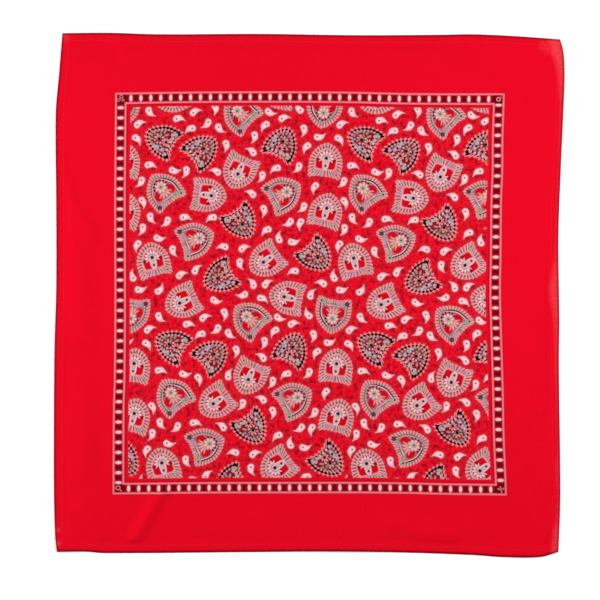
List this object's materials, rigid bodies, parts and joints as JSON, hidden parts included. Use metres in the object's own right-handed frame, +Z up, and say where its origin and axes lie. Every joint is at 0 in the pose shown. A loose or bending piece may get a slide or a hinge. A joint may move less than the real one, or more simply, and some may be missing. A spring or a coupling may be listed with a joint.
{
  "type": "bandana",
  "caption": "Square cotton bandana laid flat, right side up, with narrow turned hems and a few soft lifts where the cloth rises off the surface.",
  "frame": {"origin": "centre of the laid cloth's bounding box, on the surface that it rests on", "axes": "+Z up, out of the printed side; +Y along the cloth's length, towards its top edge; +X across it, to the right seen from above"},
  "size_m": [0.5523, 0.5675, 0.0053],
  "materials": {
    "printed_cotton": "plain-weave cotton, red ground with a white, black and maroon paisley print",
    "turned_cotton": "plain-weave cotton, wrong side, red"
  },
  "bodies": {
    "root": {"panel": "printed_cotton", "hem_top": "turned_cotton", "hem_bottom": "turned_cotton", "hem_left": "turned_cotton", "hem_right": "turned_cotton"}
  },
  "joints": []
}
